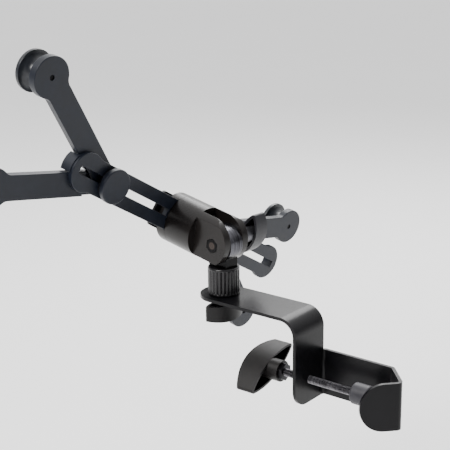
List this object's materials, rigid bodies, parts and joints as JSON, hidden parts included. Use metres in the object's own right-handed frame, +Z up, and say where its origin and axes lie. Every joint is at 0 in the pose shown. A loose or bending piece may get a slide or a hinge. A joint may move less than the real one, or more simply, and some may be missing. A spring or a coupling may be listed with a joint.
{
  "type": "tablet clamp mount",
  "caption": "Pole clamp with a V jaw and screw, a pan, tilt and roll knuckle, and a slotted bar with sliding swing arms whose grooved rollers grip a tablet's edges.",
  "frame": {"origin": "on the axis of the clamped pole, at the height of the clamp screw", "axes": "+Z up along the pole, +X the way the clamp screw pushes, -X towards the tablet"},
  "size_m": [0.2378, 0.3533, 0.2719],
  "materials": {
    "black_satin_metal": "near-black satin powder coat",
    "tube_grey": "dark grey semi-gloss",
    "dark_steel": "blackened steel",
    "collar_black": "black gloss",
    "knob_plastic": "dark brown-grey moulded plastic",
    "cap_grey": "dark grey plastic",
    "charcoal_plastic": "bluish charcoal moulded plastic",
    "roller_rubber": "dark rubber",
    "pin_steel": "zinc-plated steel"
  },
  "bodies": {
    "bracket": {"clamp_bracket": "black_satin_metal"},
    "cap": {"pressure_cap": "cap_grey"},
    "clamp_drive": {"clamp_screw": "dark_steel", "clamp_lock_nut": "dark_steel", "clamp_knob": "knob_plastic"},
    "pan_post": {"fluted_collar": "collar_black", "knuckle_post": "dark_steel", "pan_bolt": "dark_steel"},
    "pan_ring": {"pan_washer": "dark_steel"},
    "pan_grip": {"pan_knob": "knob_plastic"},
    "tube": {"clevis_tube": "tube_grey", "tilt_bolt": "dark_steel", "swivel_screw": "dark_steel"},
    "tilt_ring": {"tilt_washer": "dark_steel"},
    "tilt_grip": {"tilt_knob": "knob_plastic"},
    "head": {"saddle_block": "black_satin_metal", "backing_plate": "black_satin_metal", "backing_screws": "dark_steel", "slotted_bar": "charcoal_plastic"},
    "carriage_left": {"lock_bolt_left": "dark_steel"},
    "lock_ring_left": {"lock_washer_left": "dark_steel"},
    "lock_grip_left": {"lock_knob_left": "charcoal_plastic"},
    "arm_left_upper": {"arm_left_upper": "charcoal_plastic", "pin_left_upper": "pin_steel"},
    "roller_left_upper": {"roller_left_upper": "roller_rubber"},
    "arm_left_lower": {"arm_left_lower": "charcoal_plastic", "pin_left_lower": "pin_steel"},
    "roller_left_lower": {"roller_left_lower": "roller_rubber"},
    "carriage_right": {"lock_bolt_right": "dark_steel"},
    "lock_ring_right": {"lock_washer_right": "dark_steel"},
    "lock_grip_right": {"lock_knob_right": "charcoal_plastic"},
    "arm_right_lower": {"arm_right_lower": "charcoal_plastic", "pin_right_lower": "pin_steel"},
    "roller_right_lower": {"roller_right_lower": "roller_rubber"},
    "arm_right_upper": {"arm_right_upper": "charcoal_plastic", "pin_right_upper": "pin_steel"},
    "roller_right_upper": {"roller_right_upper": "roller_rubber"}
  },
  "joints": [
    {"name": "clamp_slide", "type": "slide", "parent": "bracket", "child": "cap", "axis": [1, 0, 0], "range_m": [-0.012, 0.014]},
    {"name": "clamp_turn", "type": "hinge", "parent": "cap", "child": "clamp_drive", "pos_m": [0, 0, 0], "axis": [1, 0, 0], "range_deg": [-4320, 5040]},
    {"name": "pan", "type": "hinge", "parent": "bracket", "child": "pan_post", "pos_m": [-0.1426, 0, 0.0915], "axis": [0, 0, 1], "range_deg": [-85, 95]},
    {"name": "pan_ring_slide", "type": "slide", "parent": "pan_post", "child": "pan_ring", "axis": [0, 0, -1], "range_m": [0, 0.003]},
    {"name": "pan_knob_turn", "type": "hinge", "parent": "pan_ring", "child": "pan_grip", "pos_m": [-0.1426, 0, 0.04], "axis": [0, 0, -1], "range_deg": [0, 1080]},
    {"name": "tilt", "type": "hinge", "parent": "pan_post", "child": "tube", "pos_m": [-0.1426, 0, 0.0915], "axis": [-0.0842, -0.9964, 0], "range_deg": [-80, 22]},
    {"name": "tilt_ring_slide", "type": "slide", "parent": "tube", "child": "tilt_ring", "axis": [0.0842, 0.9964, 0], "range_m": [0, 0.003]},
    {"name": "tilt_knob_turn", "type": "hinge", "parent": "tilt_ring", "child": "tilt_grip", "pos_m": [-0.1426, 0, 0.0915], "axis": [0.0842, 0.9964, 0], "range_deg": [0, 1080]},
    {"name": "roll", "type": "hinge", "parent": "tube", "child": "head", "pos_m": [-0.14234, -0.00002, 0.09308], "axis": [-0.9826, 0.083, 0.1661], "continuous": true},
    {"name": "carriage_left_slide", "type": "slide", "parent": "head", "child": "carriage_left", "axis": [-0.0111, 0.8665, -0.499], "range_m": [0, 0.046]},
    {"name": "lock_ring_left_slide", "type": "slide", "parent": "carriage_left", "child": "lock_ring_left", "axis": [0.9826, -0.083, -0.1661], "range_m": [0, 0.003]},
    {"name": "lock_knob_left_turn", "type": "hinge", "parent": "lock_ring_left", "child": "lock_grip_left", "pos_m": [-0.18062, -0.07616, 0.14548], "axis": [0.9826, -0.083, -0.1661], "range_deg": [0, 1080]},
    {"name": "arm_left_upper_swing", "type": "hinge", "parent": "carriage_left", "child": "arm_left_upper", "pos_m": [-0.18858, -0.07549, 0.14683], "axis": [-0.9826, 0.083, 0.1661], "range_deg": [0, 60]},
    {"name": "roller_left_upper_spin", "type": "hinge", "parent": "arm_left_upper", "child": "roller_left_upper", "pos_m": [-0.18517, -0.13232, 0.23276], "axis": [-0.9826, 0.083, 0.1661], "continuous": true},
    {"name": "arm_left_lower_swing", "type": "hinge", "parent": "carriage_left", "child": "arm_left_lower", "pos_m": [-0.18858, -0.07549, 0.14683], "axis": [0.9826, -0.083, -0.1661], "range_deg": [0, 60]},
    {"name": "roller_left_lower_spin", "type": "hinge", "parent": "arm_left_lower", "child": "roller_left_lower", "pos_m": [-0.20056, -0.17647, 0.16373], "axis": [-0.9826, 0.083, 0.1661], "continuous": true},
    {"name": "carriage_right_slide", "type": "slide", "parent": "head", "child": "carriage_right", "axis": [-0.0111, 0.8665, -0.499], "range_m": [0, 0.051]},
    {"name": "lock_ring_right_slide", "type": "slide", "parent": "carriage_right", "child": "lock_ring_right", "axis": [0.9826, -0.083, -0.1661], "range_m": [0, 0.003]},
    {"name": "lock_knob_right_turn", "type": "hinge", "parent": "lock_ring_right", "child": "lock_grip_right", "pos_m": [-0.18215, 0.0429, 0.07692], "axis": [0.9826, -0.083, -0.1661], "range_deg": [0, 1080]},
    {"name": "arm_right_lower_swing", "type": "hinge", "parent": "carriage_right", "child": "arm_right_lower", "pos_m": [-0.19011, 0.04357, 0.07826], "axis": [-0.9826, 0.083, 0.1661], "range_deg": [0, 60]},
    {"name": "roller_right_lower_spin", "type": "hinge", "parent": "arm_right_lower", "child": "roller_right_lower", "pos_m": [-0.20596, 0.10009, -0.00648], "axis": [-0.9826, 0.083, 0.1661], "continuous": true},
    {"name": "arm_right_upper_swing", "type": "hinge", "parent": "carriage_right", "child": "arm_right_upper", "pos_m": [-0.19011, 0.04357, 0.07826], "axis": [0.9826, -0.083, -0.1661], "range_deg": [0, 60]},
    {"name": "roller_right_upper_spin", "type": "hinge", "parent": "arm_right_upper", "child": "roller_right_upper", "pos_m": [-0.19046, 0.14545, 0.06254], "axis": [-0.9826, 0.083, 0.1661], "continuous": true}
  ],
  "couplings": [
    {"joint": "clamp_turn", "follows": "clamp_slide", "rad_per_m": 6283.2},
    {"joint": "pan_knob_turn", "follows": "pan_ring_slide", "rad_per_m": 6283.2},
    {"joint": "tilt_knob_turn", "follows": "tilt_ring_slide", "rad_per_m": 6283.2},
    {"joint": "lock_knob_left_turn", "follows": "lock_ring_left_slide", "rad_per_m": 6283.2},
    {"joint": "lock_knob_right_turn", "follows": "lock_ring_right_slide", "rad_per_m": 6283.2}
  ]
}
